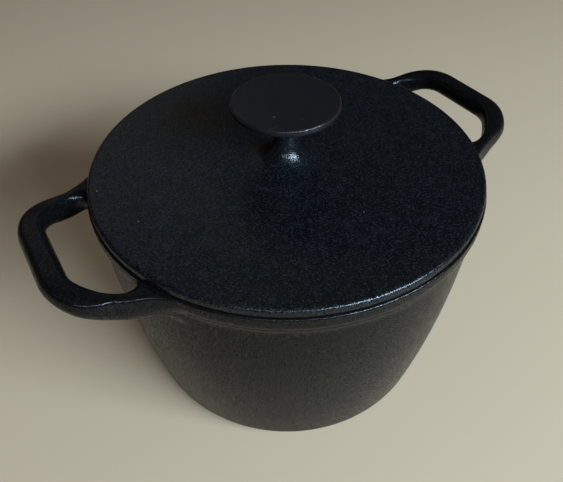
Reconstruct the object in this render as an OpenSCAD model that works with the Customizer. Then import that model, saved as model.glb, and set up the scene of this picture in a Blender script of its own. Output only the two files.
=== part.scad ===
// Deep cast saucepan with two loop handles and a flat lid that drops into its mouth.
// The pan is one casting and the lid is another. Millimetres, +Z up, the origin on
// the ground at the middle of the base, and the two handles along X.

/* [Pan] */
// Outside diameter at the rim
rim_d = 212; // [165:0.2:250]
// Height from the ground to the rim
pan_h = 134.8; // [105:0.2:165]
// How far the side draws in from under the rim to the ground
side_draw = 14.5; // [4:0.1:20]
// How far the side bulges out from a straight taper
side_bulge = 3; // [1:0.5:6]
// Thickness of the side
wall_t = 4; // [3:0.25:6]
// Thickness of the base
base_t = 5; // [3:0.25:8]
// Radius of the rounded foot, outside
foot_r = 11; // [6:0.5:16]
// Radius of the corner inside the pan
inner_corner_r = 13; // [6:0.5:18]

/* [Rim] */
// Height of the thicker band round the rim
band_h = 10.8; // [5:0.1:16]
// How far the band stands out from the side
band_t = 2.5; // [0.4:0.1:3]
// Rounding of the rim's edges
rim_edge_r = 1.2; // [0.5:0.1:1.4]

/* [Handles] */
// Distance from the rim out to the middle of the grip
grip_out = 26.3; // [22:0.1:45]
// Width of the grip, seen from above
grip_w = 12.8; // [9:0.1:16]
// Thickness of the grip, up and down
grip_t = 10.6; // [8:0.1:14]
// Width of the arms, seen from above
arm_w = 8; // [6:0.1:12]
// Thickness of the arms where they leave the pan, up and down
arm_t = 13.8; // [8:0.1:17]
// How far each side leans in, from the parting line at mid-height to the top and to the bottom
handle_draft = 1.1; // [0:0.1:1.6]
// Half the distance between the arms at the grip, before the corners are rounded
grip_half = 31.8; // [26:0.1:40]
// Half the distance between the arms at the side of the pan
root_half = 45.8; // [38:0.1:56]
// Radius of the handle's corners, on its middle line
bend_r = 23.5; // [14:0.5:26]
// Depth of the handle's top below the rim, where it meets the pan
root_drop = 0.6; // [0.3:0.1:4]
// How much the handle climbs from the pan to the grip
handle_rise = 8.6; // [0:0.1:14]
// Radius of the hollow that runs an arm into the side of the pan, outside and below
root_r = 7; // [2:0.5:12]
// Radius of the same hollow on the side of the finger gap
gap_root_r = 12; // [2:0.5:16]

/* [Lid] */
// How far the rim stands out past the lid
lid_setback = 1; // [0:0.1:3]
// Height of the lid's edge, from the rim to the top face
lid_edge_h = 4.9; // [4.5:0.1:9]
// Thickness of the plate, inside the locating ring
lid_plate_t = 4.4; // [3:0.1:4.4]
// Rounding of the lid's upper edge
lid_top_r = 2.2; // [1:0.1:3]
// Rounding of the lid's lower edge
lid_low_r = 1; // [0.5:0.1:1.4]
// Width of the locating ring
ring_w = 4.5; // [3:0.1:8]
// How far the locating ring reaches down into the mouth
ring_drop = 4; // [2:0.1:8]
// Clearance between the locating ring and the mouth
ring_gap = 1; // [0.4:0.1:2]

/* [Knob] */
// Diameter of the knob's disc
knob_d = 55.6; // [40:0.1:70]
// Height of the knob above the lid
knob_h = 34.8; // [26:0.1:46]
// Thickness of the disc at its edge
disc_t = 3.8; // [3:0.1:6]
// Rounding of the disc's edges
disc_edge_r = 1.2; // [0.5:0.1:1.4]
// Diameter of the neck at its waist
neck_d = 13.2; // [10:0.1:18]
// Radius of the hollow where the neck spreads into the lid
neck_low_r = 14; // [6:0.5:17]
// Radius of the hollow where the neck spreads into the disc
neck_top_r = 10; // [4:0.5:11]
// How much the disc thickens from its edge to the neck
disc_slope = 2; // [0:0.1:3]

/* [Hidden] */
$fn = 160;
// How far a cut runs past the face it opens, and how far joined solids run into each other
past = 1;
overlap = 0.01;
// Facets of the side's long arc, a short stretch of a very large circle
side_arc_fn = 1440;
rim_r = rim_d / 2;
band_low_z = pan_h - band_h;
// The side is one arc, from the ground up to the rim's band
side_high = [rim_r - band_t, band_low_z];
side_low = side_high - [side_draw, band_low_z];
side_chord = norm(side_high - side_low);
side_arc_r = (side_chord * side_chord / 4 + side_bulge * side_bulge) / (2 * side_bulge);
side_inward = [-side_high[1], side_high[0] - side_low[0]] / side_chord;
side_centre = (side_high + side_low) / 2 + (side_arc_r - side_bulge) * side_inward;
inner_arc_r = side_arc_r - wall_t;
mouth_r = arc_x(inner_arc_r, band_low_z);
lid_r = rim_r - lid_setback;
lid_top_z = pan_h + lid_edge_h;
ring_r = mouth_r - ring_gap;
ring_inner_r = ring_r - ring_w;
grip_reach = rim_r + grip_out;
// The sweep of a handle starts this far inside the mouth, where the hollow cuts it off
sweep_inside = 10;
sweep_start = sqrt(mouth_r * mouth_r - root_half * root_half) - sweep_inside;
handle_centre_z = pan_h - root_drop - arm_t / 2;
arm_steps = 15;
bend_steps = 9;
section_points = 20;
// The handles' section is between an ellipse, at 2, and a rectangle, at large numbers
section_power = 4;
// A handle starts to climb at the rim, and its arms start to widen and flatten this far out
rise_start = rim_r;
rise_end = grip_reach + grip_w / 2;
arm_run = 7;
taper_start = rim_r + arm_run;
taper_end = grip_reach - grip_w / 2;

// Distance from the axis, at height z, of an arc about the side's centre
function arc_x(arc_r, z) = side_centre[0] + sqrt(arc_r * arc_r - pow(z - side_centre[1], 2));

// 0 before a, 1 after b, and a smooth climb between them
function ramp(x, a, b) =
    let (s = min(1, max(0, (x - a) / (b - a))))
    s * s * (3 - 2 * s);

function unit(v) = v / norm(v);

// Half the outline of a round-cornered vessel: an arc for its side, a flat bottom at floor_z,
// and a corner of radius r that touches both
module vessel_outline(arc_r, floor_z, r) {
    corner = [arc_x(arc_r - r, floor_z + r), floor_z + r];
    meet = side_centre + arc_r * unit(corner - side_centre);
    intersection() {
        translate(side_centre)
            circle(r = arc_r, $fn = side_arc_fn);
        translate([0, meet[1]])
            square([rim_r, band_low_z - meet[1] + overlap]);
    }
    translate([0, floor_z])
        square([corner[0], meet[1] - floor_z + overlap]);
    intersection() {
        translate(corner)
            circle(r = r, $fn = 96);
        translate([0, floor_z])
            square([rim_r, meet[1] - floor_z + overlap]);
    }
}

// Cuts a square corner back to a quarter circle; side says which way the corner points
module edge_cut(corner, r, side) {
    translate(corner)
        scale(side)
            difference() {
                translate([-r, -r])
                    square(r + past);
                translate([-r, -r])
                    circle(r = r, $fn = 48);
            }
}

// The band round the rim: a rounded upper edge, and a slope that runs it into the side
module rim_band() {
    difference() {
        polygon([
            [0, band_low_z],
            side_high,
            [rim_r, band_low_z + band_h / 2],
            [rim_r, pan_h],
            [0, pan_h]
        ]);
        edge_cut([rim_r, pan_h], rim_edge_r, [1, 1]);
    }
}

module pan_outside() {
    rotate_extrude() {
        vessel_outline(side_arc_r, 0, foot_r);
        rim_band();
    }
}

// The hollow inside the pan, up through the mouth and its rounded edge
module pan_hollow() {
    rotate_extrude() {
        vessel_outline(inner_arc_r, base_t, inner_corner_r);
        translate([0, band_low_z])
            square([mouth_r, band_h + past]);
        translate([mouth_r, pan_h])
            difference() {
                translate([-overlap, -rim_edge_r])
                    square([rim_edge_r + overlap, rim_edge_r + past]);
                translate([rim_edge_r, -rim_edge_r])
                    circle(r = rim_edge_r, $fn = 48);
            }
    }
}

// Middle line of a handle, seen from above: an arm, a bend, the grip, a bend and an arm
root_reach = sqrt(rim_r * rim_r - root_half * root_half);
arm_slope = (root_half - grip_half) / (grip_reach - root_reach);
arm_turn = atan(arm_slope);
bend_sweep = 90 - arm_turn;
bend_centre = [grip_reach - bend_r, grip_half - bend_r * tan(bend_sweep / 2)];
bend_first = bend_centre + bend_r * [sin(arm_turn), cos(arm_turn)];
arm_first = [sweep_start, grip_half + (grip_reach - sweep_start) * arm_slope];
half_line = concat(
    [for (i = [0 : arm_steps - 1]) arm_first + (bend_first - arm_first) * i / arm_steps],
    [for (i = [0 : bend_steps]) let (a = bend_sweep * (1 - i / bend_steps))
        bend_centre + bend_r * [cos(a), sin(a)]]
);
middle_line = concat(
    half_line,
    [[grip_reach, 0]],
    [for (i = [len(half_line) - 1 : -1 : 0]) [half_line[i][0], -half_line[i][1]]]
);

// How far a hollow of radius r stands out from an arm, at a distance d from the side
function root_hollow(r, d) =
    let (s = r - min(r, max(0, d)))
    r - sqrt(r * r - s * s);

// Half the width and half the thickness of the handle at a point of its middle line
function section_half(p) =
    let (to_grip = ramp(p[0], taper_start, taper_end))
    [arm_w + (grip_w - arm_w) * to_grip, arm_t + (grip_t - arm_t) * to_grip] / 2;

function middle(p) = [p[0], p[1], handle_centre_z + handle_rise * ramp(p[0], rise_start, rise_end)];

function rounded(x) = sign(x) * pow(abs(x), 2 / section_power);

// One point of a section: the plain section, then the hollows that run it into the side,
// which spread it along the side and downwards
function section_point(centre, across, up, half, a) =
    let (
        side = rounded(cos(a)),
        rise = rounded(sin(a)),
        plain = centre + across * side * (half[0] - handle_draft * abs(rise)) + up * rise * half[1],
        d = norm([plain[0], plain[1]]) - side_high[0],
        round_side = unit([-plain[1], plain[0], 0]),
        spread = side * sign(round_side * across) * root_hollow(side > 0 ? root_r : gap_root_r, d)
    )
    plain + spread * round_side + [0, 0, min(0, rise) * root_hollow(root_r, d)];

// One section of the sweep, square to the middle line and level across
function section_ring(i) =
    let (
        p = middle_line[i],
        next = middle(middle_line[min(len(middle_line) - 1, i + 1)]),
        along = unit(next - middle(middle_line[max(0, i - 1)])),
        across = unit(cross([0, 0, 1], along)),
        up = cross(along, across)
    )
    [for (k = [0 : section_points - 1])
        section_point(middle(p), across, up, section_half(p), 360 * k / section_points)];

// One loop handle, on the +X side
module handle() {
    rings = len(middle_line);
    n = section_points;
    sides = [for (i = [0 : rings - 2], k = [0 : n - 1]) let (j = (k + 1) % n) each [
        [i * n + k, (i + 1) * n + k, i * n + j],
        [i * n + j, (i + 1) * n + k, (i + 1) * n + j]
    ]];
    first_cap = [for (k = [0 : n - 1]) k];
    last_cap = [for (k = [n - 1 : -1 : 0]) (rings - 1) * n + k];
    polyhedron([for (i = [0 : rings - 1]) each section_ring(i)], concat(sides, [first_cap, last_cap]));
}

// The pan: side, base, rim and both handles, cast in one
module pan() {
    color("#26282b")
        difference() {
            union() {
                pan_outside();
                handle();
                rotate([0, 0, 180])
                    handle();
            }
            pan_hollow();
        }
}

// The lid's plate, its edge and the ring under it, from the axis outwards
module lid_plate() {
    rotate_extrude()
        difference() {
            union() {
                translate([0, lid_top_z - lid_plate_t])
                    square([ring_inner_r + overlap, lid_plate_t]);
                translate([ring_inner_r, pan_h])
                    square([lid_r - ring_inner_r, lid_edge_h]);
                translate([ring_inner_r, pan_h - ring_drop])
                    square([ring_w, ring_drop + overlap]);
            }
            edge_cut([lid_r, lid_top_z], lid_top_r, [1, 1]);
            edge_cut([lid_r, pan_h], lid_low_r, [1, -1]);
            edge_cut([ring_r, pan_h - ring_drop], rim_edge_r, [1, -1]);
        }
}

// The knob: a thin disc on a neck that spreads into the lid and into the disc
module knob() {
    neck_r = neck_d / 2;
    disc_r = knob_d / 2;
    disc_low = knob_h - disc_t;
    neck_high = disc_low - disc_slope;
    translate([0, 0, lid_top_z])
        rotate_extrude()
            union() {
                translate([0, -overlap])
                    square([neck_r, knob_h - disc_t]);
                neck_hollow(neck_r, 0, neck_low_r, 1);
                neck_hollow(neck_r, neck_high, neck_top_r, -1);
                difference() {
                    polygon([
                        [0, neck_high],
                        [neck_r + neck_top_r, neck_high],
                        [disc_r, disc_low],
                        [disc_r, knob_h],
                        [0, knob_h]
                    ]);
                    edge_cut([disc_r, knob_h], disc_edge_r, [1, 1]);
                    edge_cut([disc_r, disc_low], disc_edge_r, [1, -1]);
                }
            }
}

// The metal in a quarter-round hollow between the neck and a face at height z
module neck_hollow(neck_r, z, r, side) {
    translate([neck_r, z])
        scale([1, side])
            difference() {
                translate([-overlap, -overlap])
                    square(r + overlap);
                translate([r, r])
                    circle(r = r, $fn = 96);
            }
}

// The lid: plate, locating ring, neck and knob, cast in one
module lid() {
    color("#2b2c2f")
        union() {
            lid_plate();
            knob();
        }
}

pan();
lid();
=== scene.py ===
# The looks of a lidded cast-iron saucepan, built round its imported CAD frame. Metres, +Z up.
import math

import bmesh
import bpy
import numpy as np
from mathutils import Matrix, Vector


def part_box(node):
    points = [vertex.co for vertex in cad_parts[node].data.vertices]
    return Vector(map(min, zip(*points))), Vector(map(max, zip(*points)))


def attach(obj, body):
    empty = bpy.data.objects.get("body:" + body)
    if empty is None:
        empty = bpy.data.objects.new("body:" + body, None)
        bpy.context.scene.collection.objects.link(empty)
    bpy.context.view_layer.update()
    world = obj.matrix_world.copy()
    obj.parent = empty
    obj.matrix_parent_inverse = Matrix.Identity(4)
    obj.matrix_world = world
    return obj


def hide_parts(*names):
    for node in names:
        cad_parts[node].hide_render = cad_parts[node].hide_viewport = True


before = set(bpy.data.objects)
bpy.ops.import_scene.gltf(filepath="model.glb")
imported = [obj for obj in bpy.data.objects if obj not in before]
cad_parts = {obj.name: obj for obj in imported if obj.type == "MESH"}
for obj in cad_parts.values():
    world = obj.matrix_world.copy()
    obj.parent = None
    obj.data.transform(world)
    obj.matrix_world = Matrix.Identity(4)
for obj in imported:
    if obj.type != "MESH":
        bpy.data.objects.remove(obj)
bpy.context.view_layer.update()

scene = bpy.context.scene
_, pan_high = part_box("pan")
lid_low, lid_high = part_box("lid")

# ---- Sizes that the frame gives ----
RIM_R = pan_high.y
REACH = pan_high.x
LID_R = lid_high.x
RING_DROP = 0.004
PAN_H = lid_low.z + RING_DROP
KNOB_TOP = lid_high.z

# ---- Pan ----
SIDE_DRAW = 0.0145
SIDE_BULGE = 0.003
WALL_T = 0.004
BASE_T = 0.005
FOOT_R = 0.011
INNER_CORNER_R = 0.013
BAND_H = 0.0108
BAND_T = 0.0025
BAND_BLEND = 0.0074
RIM_EDGE_R = 0.0012
BAND_LOW = PAN_H - BAND_H
COLUMNS = 60

# ---- Handles ----
GRIP_W = 0.0128
GRIP_T = 0.0106
ARM_W = 0.008
ARM_T = 0.0138
HANDLE_DRAFT = 0.0011
GRIP_HALF = 0.0318
ROOT_HALF = 0.0458
BEND_R = 0.0235
ROOT_DROP = 0.0006
HANDLE_RISE = 0.0086
ROOT_R = 0.007
GAP_ROOT_R = 0.012
TOP_CREASE = 0.0001
SECTION_POWER = 4
ARM_RUN = 0.007
GRIP_REACH = REACH - GRIP_W / 2
HANDLE_Z = PAN_H - ROOT_DROP - ARM_T / 2
# A handle's root is let into the part of the side above this height and between these columns
ROOT_LOW_Z = PAN_H - 0.029
ROOT_COLUMNS = (8, 25)
# Steps between the root and the side's grid, and how often they are evened out
FILL_STEPS = 12
FILL_ROUNDS = 80
HOLLOW_RINGS = 15
ARM_STEPS = 5
BEND_STEPS = 18
GRIP_STEPS = 5
TRACK_POINTS = 1200

# ---- Lid ----
LID_EDGE_H = 0.0049
LID_PLATE_T = 0.0044
LID_TOP_R = 0.0022
LID_LOW_R = 0.001
RING_W = 0.0045
RING_GAP = 0.001
LID_TOP = PAN_H + LID_EDGE_H
KNOB_R = 0.0278
DISC_T = 0.0038
DISC_EDGE_R = 0.0012
DISC_SLOPE = 0.002
NECK_R = 0.0066
NECK_LOW_R = 0.014
NECK_TOP_R = 0.010
LID_COLUMNS = 240


# ---------------------------------------------------------------- outlines
def arc(centre, radius, start, end, steps):
    """Points of an arc in an outline, from one angle to another in degrees, both ends included."""
    angles = np.radians(np.linspace(start, end, steps + 1))
    return [(centre[0] + radius * math.cos(a), centre[1] + radius * math.sin(a)) for a in angles]


def line(start, end, steps):
    """Points from start towards end, without the end."""
    return [tuple(np.add(start, np.subtract(end, start) * i / steps)) for i in range(steps)]


def smooth(x, low, high):
    s = np.clip((x - low) / (high - low), 0, 1)
    return s * s * (3 - 2 * s)


SIDE_HIGH = np.array([RIM_R - BAND_T, BAND_LOW])
SIDE_LOW = SIDE_HIGH - [SIDE_DRAW, BAND_LOW]
CHORD = np.linalg.norm(SIDE_HIGH - SIDE_LOW)
SIDE_ARC_R = (CHORD**2 / 4 + SIDE_BULGE**2) / (2 * SIDE_BULGE)
INWARD = np.array([-SIDE_HIGH[1], SIDE_HIGH[0] - SIDE_LOW[0]]) / CHORD
SIDE_CENTRE = (SIDE_HIGH + SIDE_LOW) / 2 + (SIDE_ARC_R - SIDE_BULGE) * INWARD
MOUTH_R = SIDE_CENTRE[0] + math.sqrt((SIDE_ARC_R - WALL_T) ** 2 - (BAND_LOW - SIDE_CENTRE[1]) ** 2)


def side_x(radius, z):
    """Distance from the axis, at height z, of an arc about the side's centre."""
    return SIDE_CENTRE[0] + math.sqrt(radius**2 - (z - SIDE_CENTRE[1]) ** 2)


def vessel(radius, floor, corner_r, rows, corner_steps):
    """From the middle of a flat floor, round a corner and up the side to the band, without its end."""
    corner = np.array([side_x(radius - corner_r, floor + corner_r), floor + corner_r])
    lean = math.degrees(math.atan2(corner[1] - SIDE_CENTRE[1], corner[0] - SIDE_CENTRE[0]))
    points = line((0, floor), (corner[0], floor), 5)
    points += arc(corner, corner_r, -90, lean, corner_steps)
    low = points[-1][1]
    points += [(side_x(radius, z), z) for z in np.linspace(low, BAND_LOW, rows + 1)[1:-1]]
    return points


def band_r(z):
    """The outside at height z, over the soft step from the side to the rim's band."""
    step = smooth(z, BAND_LOW - BAND_BLEND / 4, BAND_LOW + BAND_BLEND * 3 / 4)
    return side_x(SIDE_ARC_R, z) * (1 - step) + RIM_R * step


def pan_outline():
    """Half the pan's section, from the middle of its underside, over the rim to the middle of
    its floor, and the number of the highest row that a handle's root may reach."""
    edge_z = PAN_H - RIM_EDGE_R
    blend_high = BAND_LOW + BAND_BLEND
    outside = vessel(SIDE_ARC_R, 0, FOOT_R, rows=46, corner_steps=10)
    outside += [(band_r(z), z) for z in np.linspace(BAND_LOW, blend_high, 5)]
    outside += [(RIM_R, (blend_high + edge_z) / 2)]
    rim = arc((RIM_R - RIM_EDGE_R, edge_z), RIM_EDGE_R, 0, 90, 6)
    rim += arc((MOUTH_R + RIM_EDGE_R, edge_z), RIM_EDGE_R, 90, 180, 6)
    inside = vessel(SIDE_ARC_R - WALL_T, BASE_T, INNER_CORNER_R, rows=18, corner_steps=10)
    inside += [(MOUTH_R, BAND_LOW)]
    half_round_edge = 3
    return outside + rim + inside[::-1], len(outside) + half_round_edge


def lid_outline():
    """Half the lid's section, from the middle of its underside to the middle of the knob's top."""
    under = LID_TOP - LID_PLATE_T
    ring_r = MOUTH_R - RING_GAP
    ring_low = PAN_H - RING_DROP
    disc_low = KNOB_TOP - DISC_T
    neck_high = disc_low - DISC_SLOPE
    slope = math.degrees(math.atan2(DISC_SLOPE, KNOB_R - NECK_R - NECK_TOP_R))
    ring_inner_r = ring_r - RING_W
    points = line((0, under), (ring_inner_r, under), 6)
    points += line((ring_inner_r, under), (ring_inner_r, ring_low), 2)
    points += [(ring_inner_r, ring_low)]
    points += arc((ring_r - RIM_EDGE_R, ring_low + RIM_EDGE_R), RIM_EDGE_R, -90, 0, 4)
    points += [(ring_r, PAN_H)]
    points += arc((LID_R - LID_LOW_R, PAN_H + LID_LOW_R), LID_LOW_R, -90, 0, 6)
    points += arc((LID_R - LID_TOP_R, LID_TOP - LID_TOP_R), LID_TOP_R, 0, 90, 8)
    plate_end = (NECK_R + NECK_LOW_R, LID_TOP)
    points += line(points[-1], plate_end, 20)[1:]
    points += arc((plate_end[0], LID_TOP + NECK_LOW_R), NECK_LOW_R, -90, -180, 14)
    points += line(points[-1], (NECK_R, neck_high - NECK_TOP_R), 2)[1:]
    points += arc((NECK_R + NECK_TOP_R, neck_high - NECK_TOP_R), NECK_TOP_R, 180, 90 + slope, 12)
    disc_edge = (KNOB_R - DISC_EDGE_R, disc_low + DISC_EDGE_R)
    points += line(points[-1], (disc_edge[0], disc_low), 3)[1:]
    points += arc(disc_edge, DISC_EDGE_R, -90 + slope, 0, 5)
    points += arc((disc_edge[0], KNOB_TOP - DISC_EDGE_R), DISC_EDGE_R, 0, 90, 5)
    points += line(points[-1], (0, KNOB_TOP), 6)[1:]
    return points + [(0, KNOB_TOP)]


# ---------------------------------------------------------------- revolved grids
def revolve(outline, angles, skip=lambda i, j: False):
    """Vertices, faces and each ring's vertex numbers, for an outline turned through the angles."""
    verts, faces, rings = [], [], []
    for r, z in outline:
        if r < 1e-9:
            rings.append([len(verts)] * len(angles))
            verts.append((0, 0, z))
        else:
            rings.append(list(range(len(verts), len(verts) + len(angles))))
            verts += [(r * math.cos(a), r * math.sin(a), z) for a in angles]
    for i in range(len(rings) - 1):
        for j in range(len(angles) - 1):
            if not skip(i, j):
                face = (rings[i][j], rings[i][j + 1], rings[i + 1][j + 1], rings[i + 1][j])
                faces.append(tuple(dict.fromkeys(face)))
    return verts, faces, rings


# ---------------------------------------------------------------- handles
ARM_SLOPE = (ROOT_HALF - GRIP_HALF) / (GRIP_REACH - math.sqrt(RIM_R**2 - ROOT_HALF**2))
ARM_TURN = math.atan(ARM_SLOPE)
BEND_SWEEP = math.pi / 2 - ARM_TURN
BEND_CENTRE = np.array([GRIP_REACH - BEND_R, GRIP_HALF - BEND_R * math.tan(BEND_SWEEP / 2)])
# Lengths along the middle line are counted from the start of the bend
ARM_START = -0.06
BEND_LENGTH = BEND_R * BEND_SWEEP
HALF_LENGTH = BEND_LENGTH + BEND_CENTRE[1]


def middle_line(t):
    """Point and direction, seen from above, at the length t past the start of the bend."""
    turn = np.clip(t / BEND_R, 0, BEND_SWEEP) + ARM_TURN
    way = np.stack([np.cos(turn), -np.sin(turn)], -1)
    bend = BEND_CENTRE + BEND_R * np.stack([np.sin(turn), np.cos(turn)], -1)
    beyond = np.minimum(t, 0) + np.maximum(t - BEND_LENGTH, 0)
    return bend + way * beyond[..., None], way


def rise_at(x):
    return HANDLE_RISE * smooth(x, RIM_R, REACH)


def section_point(t, side, rise):
    """A point of the plain handle: side and rise run from -1 to 1 across and up its section."""
    flat, way = middle_line(t)
    x = flat[..., 0]
    step = 1e-5
    climb = (rise_at(x + step) - rise_at(x - step)) / (2 * step) * way[..., 0]
    along = np.concatenate([way, climb[..., None]], -1)
    along /= np.linalg.norm(along, axis=-1, keepdims=True)
    across = np.stack([-way[..., 1], way[..., 0], np.zeros_like(x)], -1)
    up = np.cross(along, across)
    centre = np.stack([x, flat[..., 1], HANDLE_Z + rise_at(x)], -1)
    to_grip = smooth(x, RIM_R + ARM_RUN, GRIP_REACH - GRIP_W / 2)
    half_w = (ARM_W + (GRIP_W - ARM_W) * to_grip) / 2 - HANDLE_DRAFT * np.abs(rise)
    half_t = (ARM_T + (GRIP_T - ARM_T) * to_grip) / 2
    return centre + across * (side * half_w)[..., None] + up * (rise * half_t)[..., None]


def hollow(radius, d):
    """How far a quarter-round hollow stands out, at a distance d from the side of the pan."""
    s = radius - np.clip(d, 0, radius)
    return radius - np.sqrt(np.maximum(radius**2 - s**2, 0))


def handle_rings(count, wall_r):
    """Rings of points from the side of the pan to the middle of the grip."""
    a = 2 * math.pi * np.arange(count) / count
    side = np.sign(np.cos(a)) * np.abs(np.cos(a)) ** (2 / SECTION_POWER)
    rise = np.sign(np.sin(a)) * np.abs(np.sin(a)) ** (2 / SECTION_POWER)
    spread_r = np.where(side > 0, ROOT_R, GAP_ROOT_R)
    below, above = np.minimum(rise, 0), np.maximum(rise, 0)
    foot_r = wall_r(HANDLE_Z + rise * ARM_T / 2 + below * ROOT_R + above * TOP_CREASE)
    lengths = np.linspace(ARM_START, BEND_LENGTH, TRACK_POINTS)
    ones = np.ones_like(lengths)
    tracks = [section_point(lengths, s * ones, u * ones) for s, u in zip(side, rise)]
    reach = [np.linalg.norm(track[:, :2], axis=1) for track in tracks]

    def length_at(d):
        """Where each track of the section lies at a distance d from the side of the pan."""
        return np.array([np.interp(foot_r[k] + d, reach[k], lengths) for k in range(count)])

    rings = []
    for lean in np.radians(np.linspace(90, 0, HOLLOW_RINGS)):
        d = GAP_ROOT_R * (1 - math.sin(lean))
        p = section_point(length_at(d), side, rise)
        radius = np.linalg.norm(p[:, :2], axis=1)
        angle = np.arctan2(p[:, 1], p[:, 0]) + side * hollow(spread_r, d) / radius
        z = p[:, 2] + below * hollow(ROOT_R, d) + above * hollow(TOP_CREASE, d)
        rings.append(np.stack([radius * np.cos(angle), radius * np.sin(angle), z], -1))
    start = length_at(GAP_ROOT_R)
    rings += [section_point(start * (1 - u), side, rise) for u in np.linspace(0, 1, ARM_STEPS + 1)[1:]]
    bend = np.linspace(0, BEND_LENGTH, BEND_STEPS + 1)[1:]
    grip = np.linspace(BEND_LENGTH, HALF_LENGTH, GRIP_STEPS + 1)[1:]
    rings += [section_point(np.full(count, t), side, rise) for t in [*bend, *grip]]
    rings[-1][:, 1] = 0
    return rings


def root_fill(foot, border, wall_r):
    """Rings on the side of the pan, evenly between the border of its grid and a root's foot."""
    fill = np.stack([foot + (border - foot) * u for u in np.linspace(0, 1, FILL_STEPS + 1)])
    for _ in range(FILL_ROUNDS):
        around = np.roll(fill, 1, axis=1) + np.roll(fill, -1, axis=1)
        fill[1:-1] = (around[1:-1] + fill[:-2] + fill[2:]) / 4
    rings = []
    for ring in fill[1:-1][::-1]:
        r, a = wall_r(ring[:, 1]), ring[:, 0] / RIM_R
        rings.append(np.stack([r * np.cos(a), r * np.sin(a), ring[:, 1]], -1))
    return rings


def pan_mesh():
    """The whole pan, from a quarter of it with half a handle, mirrored across both planes."""
    outline, rim_row = pan_outline()
    low_row = next(i for i, (r, z) in enumerate(outline) if z >= ROOT_LOW_Z)
    first, last = ROOT_COLUMNS
    angles = np.radians(np.linspace(0, 90, COLUMNS + 1))
    verts, faces, grid = revolve(outline, angles,
                                 lambda i, j: low_row <= i < rim_row and first <= j < last)
    rows_z = [z for r, z in outline[low_row:rim_row + 1]]
    rows_r = [r for r, z in outline[low_row:rim_row + 1]]

    def wall_r(z):
        return np.interp(z, rows_z, rows_r)

    edge = [(low_row, j) for j in range(first, last)]
    edge += [(i, last) for i in range(low_row, rim_row)]
    edge += [(rim_row, j) for j in range(last, first, -1)]
    edge += [(i, first) for i in range(rim_row, low_row, -1)]
    count = len(edge)
    rings = handle_rings(count, wall_r)
    foot = np.stack([np.arctan2(rings[0][:, 1], rings[0][:, 0]) * RIM_R, rings[0][:, 2]], -1)
    border = np.array([[angles[j] * RIM_R, outline[i][1]] for i, j in edge])
    # The border is turned until each of its points is beside its point of the foot
    apart = [np.sum((foot - np.roll(border, -turn, axis=0)) ** 2) for turn in range(count)]
    turn = int(np.argmin(apart))
    border = np.roll(border, -turn, axis=0)
    index = [list(np.roll([grid[i][j] for i, j in edge], -turn))]
    for ring in root_fill(foot, border, wall_r) + rings:
        index.append(list(range(len(verts), len(verts) + count)))
        verts += [tuple(p) for p in ring]
    for near, far in zip(index, index[1:]):
        faces += [(near[k], near[(k + 1) % count], far[(k + 1) % count], far[k]) for k in range(count)]
    return mirrored(verts, faces)


def mirrored(verts, faces):
    """The quarter and its three mirror images."""
    all_verts, all_faces = [], []
    for sx, sy in ((1, 1), (-1, 1), (-1, -1), (1, -1)):
        base = len(all_verts)
        all_verts += [(x * sx, y * sy, z) for x, y, z in verts]
        all_faces += [tuple(base + i for i in (face if sx == sy else face[::-1])) for face in faces]
    return all_verts, all_faces


def make_piece(name, verts, faces, node, slot, material):
    """One casting as a closed mesh that stands for its CAD node."""
    mesh = bpy.data.meshes.new(name)
    mesh.from_pydata(verts, [], faces)
    bm = bmesh.new()
    bm.from_mesh(mesh)
    bmesh.ops.remove_doubles(bm, verts=bm.verts, dist=1e-6)
    bmesh.ops.recalc_face_normals(bm, faces=bm.faces)
    bm.to_mesh(mesh)
    bm.free()
    mesh.shade_smooth()
    mesh.materials.append(material)
    piece = bpy.data.objects.new(name, mesh)
    scene.collection.objects.link(piece)
    weighted = piece.modifiers.new("Weighted", "WEIGHTED_NORMAL")
    weighted.keep_sharp = True
    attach(piece, "root")
    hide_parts(node)
    return piece


# ---------------------------------------------------------------- materials
ROUGHNESS = 0.17
HANDLED_BROWN = (0.0105, 0.0088, 0.0092, 1)
HANDLED_DEPTH = 0.012
SPECK_PALE = (0.2, 0.21, 0.23, 1)
SCRATCH_PALE = (0.06, 0.064, 0.07, 1)
ABOVE_ALL = 1.0


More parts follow.
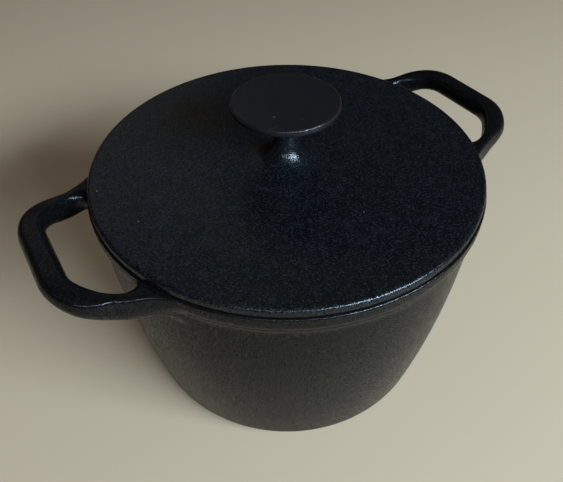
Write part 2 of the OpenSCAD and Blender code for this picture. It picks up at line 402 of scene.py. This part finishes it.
class Nodes:
    """Adds nodes to a material in few words."""

    def __init__(self, name):
        self.material = bpy.data.materials.new(name)
        self.material.use_nodes = True
        self.tree = self.material.node_tree
        self.shader = self.tree.nodes["Principled BSDF"]
        self.place = self.add("ShaderNodeTexCoord").outputs["Object"]

    def add(self, kind, inputs=None, **settings):
        node = self.tree.nodes.new(kind)
        for key, value in settings.items():
            setattr(node, key, value)
        for key, value in (inputs or {}).items():
            self.put(value, node.inputs[key])
        return node

    def put(self, value, socket):
        if isinstance(value, bpy.types.NodeSocket):
            self.tree.links.new(value, socket)
        else:
            socket.default_value = value

    def noise(self, scale, detail, roughness, place=None):
        inputs = {"Vector": place or self.place, "Scale": scale, "Detail": detail, "Roughness": roughness}
        return self.add("ShaderNodeTexNoise", inputs).outputs["Fac"]

    def math(self, operation, a, b):
        return self.add("ShaderNodeMath", {0: a, 1: b}, operation=operation).outputs[0]

    def plus(self, value, part, share):
        """The value with a share of the part added."""
        inputs = {0: part, 1: share, 2: value}
        return self.add("ShaderNodeMath", inputs, operation="MULTIPLY_ADD").outputs[0]

    def ramp(self, value, low, high, to_low=0.0, to_high=1.0):
        inputs = {"Value": value, "From Min": low, "From Max": high, "To Min": to_low, "To Max": to_high}
        return self.add("ShaderNodeMapRange", inputs, interpolation_type="SMOOTHSTEP").outputs["Result"]

    def mix(self, factor, a, b):
        node = self.add("ShaderNodeMix", data_type="RGBA")
        self.put(factor, node.inputs[0])
        self.put(a, node.inputs[6])
        self.put(b, node.inputs[7])
        return node.outputs[2]

    def stretched(self, scale, turn):
        inputs = {"Vector": self.place, "Scale": scale, "Rotation": (0, 0, math.radians(turn))}
        return self.add("ShaderNodeMapping", inputs).outputs["Vector"]


def specks(n, wear):
    """Small round dots, more of them with more wear."""
    cell = n.add("ShaderNodeTexVoronoi", {"Vector": n.place, "Scale": 95.0}, feature="F1")
    chance = n.add("ShaderNodeSeparateColor", {"Color": cell.outputs["Color"]}).outputs[0]
    return n.math("MULTIPLY", n.math("LESS_THAN", cell.outputs["Distance"], 0.034),
                  n.math("GREATER_THAN", chance, 1 - 0.3 * wear))


def scratches(n):
    """Short straight scratches in three directions, each in its own places."""
    marks = 0.0
    for turn, spread in ((28, 30), (-41, 33), (77, 37)):
        lines = n.ramp(n.noise(1, 0, 0.5, n.stretched((60, 1300, 60), turn)), 0.78, 0.84)
        places = n.ramp(n.noise(spread, 1, 0.5), 0.66, 0.72)
        marks = n.math("MAXIMUM", n.math("MULTIPLY", lines, places), marks)
    return marks


def iron(name, dark, brown, pale, shine, wear, relief, handled_z=ABOVE_ALL):
    """Black seasoned cast iron: a sandy skin of the given relief in metres, brown patches, and
    a shine that comes and goes with the grain. Wear adds pale specks and scratches, and hands
    have browned what lies at the height handled_z."""
    n = Nodes(name)
    patches = n.noise(13, 3, 0.55)
    mottle = n.noise(160, 3, 0.6)
    grain = n.noise(1150, 2, 0.7)
    fine = n.noise(4200, 1, 0.5)
    colour = n.mix(n.ramp(patches, 0.45, 0.7), dark, brown)
    # Pale grain: the iron's own sandy grain in its colour, made pale enough to stand in part for painted
    # glints of light on it
    colour = n.mix(n.ramp(grain, 0.5, 0.68), colour, pale)
    colour = n.mix(n.ramp(mottle, 0.52, 0.8, 0, 0.35), colour, pale)

    level = n.add("ShaderNodeSeparateXYZ", {"Vector": n.place}).outputs[2]
    colour = n.mix(n.ramp(level, handled_z - HANDLED_DEPTH, handled_z), colour, HANDLED_BROWN)

    speck = specks(n, wear)
    scratch = scratches(n)
    colour = n.mix(n.math("MULTIPLY", speck, 0.8), colour, SPECK_PALE)
    colour = n.mix(n.math("MULTIPLY", scratch, 0.3 * wear), colour, SCRATCH_PALE)
    n.put(colour, n.shader.inputs["Base Color"])

    sheen = n.math("ADD", n.ramp(patches, 0.3, 0.7, -0.03, 0.04), n.ramp(mottle, 0.3, 0.7, -0.05, 0.05))
    n.put(n.math("ADD", sheen, ROUGHNESS), n.shader.inputs["Roughness"])
    n.put(n.ramp(fine, 0.46, 0.62, 0, shine), n.shader.inputs["Specular IOR Level"])
    n.shader.inputs["IOR"].default_value = 1.45

    height = n.plus(grain, fine, 0.2)
    height = n.plus(height, n.noise(60, 2, 0.5), 0.08)
    height = n.plus(height, scratch, -0.1 * wear)
    height = n.plus(height, speck, 0.3)
    bump = n.add("ShaderNodeBump", {"Strength": 1.0, "Distance": relief, "Height": height})
    n.put(bump.outputs["Normal"], n.shader.inputs["Normal"])
    return n.material


def floor_material():
    n = Nodes("floor_pale")
    tone = n.mix(n.noise(3.0, 2, 0.5), (0.6, 0.423, 0.267, 1), (0.64, 0.45, 0.29, 1))
    n.put(tone, n.shader.inputs["Base Color"])
    n.shader.inputs["Roughness"].default_value = 0.6
    return n.material


# ---------------------------------------------------------------- camera, floor and light
CAMERA_TURN = math.radians(-32.15)
CAMERA_BACK = 0.24876
CAMERA_HEIGHT = 0.32268
CAMERA_PITCH = 0.781
CAMERA_YAW = -0.0123
CAMERA_ROLL = -0.014
CAMERA_LENS = 36.217


def make_camera():
    turn = Matrix.Rotation(CAMERA_TURN, 3, "Z")
    forward = turn @ Vector((math.sin(CAMERA_YAW) * math.cos(CAMERA_PITCH),
                             math.cos(CAMERA_YAW) * math.cos(CAMERA_PITCH), -math.sin(CAMERA_PITCH)))
    right = forward.cross(Vector((0, 0, 1))).normalized()
    up = right.cross(forward)
    right, up = (right * math.cos(CAMERA_ROLL) + up * math.sin(CAMERA_ROLL),
                 up * math.cos(CAMERA_ROLL) - right * math.sin(CAMERA_ROLL))
    camera = bpy.data.objects.new("camera", bpy.data.cameras.new("camera"))
    place = Matrix((right, up, -forward)).transposed().to_4x4()
    place.translation = turn @ Vector((0, -CAMERA_BACK, CAMERA_HEIGHT))
    camera.matrix_world = place
    camera.data.lens = CAMERA_LENS
    camera.data.clip_start = 0.01
    scene.collection.objects.link(camera)
    scene.camera = camera


def make_floor(size=8.0):
    mesh = bpy.data.meshes.new("floor")
    half = size / 2
    corners = [(-half, -half, 0), (half, -half, 0), (half, half, 0), (-half, half, 0)]
    mesh.from_pydata(corners, [], [(0, 1, 2, 3)])
    mesh.materials.append(floor_material())
    floor = bpy.data.objects.new("floor", mesh)
    scene.collection.objects.link(floor)


def make_light(name, azimuth, elevation, distance, size, power, colour):
    """A soft box that faces the rim. Seen by the camera, azimuth 0 is on the right, -90 is near."""
    a = math.radians(azimuth) + CAMERA_TURN
    e = math.radians(elevation)
    way = Vector((math.cos(a) * math.cos(e), math.sin(a) * math.cos(e), math.sin(e)))
    light = bpy.data.lights.new(name, "AREA")
    light.shape = "RECTANGLE"
    light.size, light.size_y = size
    light.energy = power
    light.color = colour
    box = bpy.data.objects.new(name, light)
    box.location = way * distance + Vector((0, 0, PAN_H))
    box.rotation_euler = way.to_track_quat("Z", "Y").to_euler()
    scene.collection.objects.link(box)


def make_world():
    world = bpy.data.worlds.new("studio")
    world.use_nodes = True
    background = world.node_tree.nodes["Background"]
    background.inputs["Color"].default_value = (1.0, 0.8, 0.58, 1)
    background.inputs["Strength"].default_value = 0.04
    scene.world = world


make_camera()
make_floor()
make_light("window", -40, 28, 1.9, (1.4, 0.4), 84, (0.57, 0.79, 1.0))
make_light("front", -88, 30, 1.9, (1.3, 0.16), 10, (0.6, 0.82, 1.0))
make_light("ceiling", -90, 68, 2.2, (1.8, 1.8), 1.2, (1.0, 0.76, 0.5))
make_light("room", 168, 8, 1.9, (1.6, 0.8), 0.4, (1.0, 0.72, 0.45))
make_light("wall", 118, 36, 1.9, (1.2, 1.1), 0.8, (1.0, 0.97, 0.9))
make_world()

# Pan and lid are one iron, coloured as shaded and lit copies: the pan's darker colours are painted shade,
# and the lid's bluer, paler ones are a painted bluish reflection with painted glints in its pale grain;
# the lid's stronger wear and browned knob are its own
pan_iron = iron("pan_iron", dark=(0.0022, 0.0022, 0.0025, 1), brown=(0.004, 0.0031, 0.0026, 1),
                pale=(0.0085, 0.0085, 0.009, 1), shine=0.66, wear=0.4, relief=0.00009)
lid_iron = iron("lid_iron", dark=(0.0028, 0.0034, 0.0045, 1), brown=(0.0052, 0.0047, 0.0043, 1),
                pale=(0.018, 0.0195, 0.0235, 1), shine=0.9, wear=1.0, relief=0.00012, handled_z=KNOB_TOP)
make_piece("pan_casting", *pan_mesh(), "pan", "pan_iron", pan_iron)
lid_verts, lid_faces, _ = revolve(lid_outline(), np.radians(np.linspace(0, 360, LID_COLUMNS + 1)))
make_piece("lid_casting", lid_verts, lid_faces, "lid", "lid_iron", lid_iron)

scene.view_settings.view_transform = "Standard"
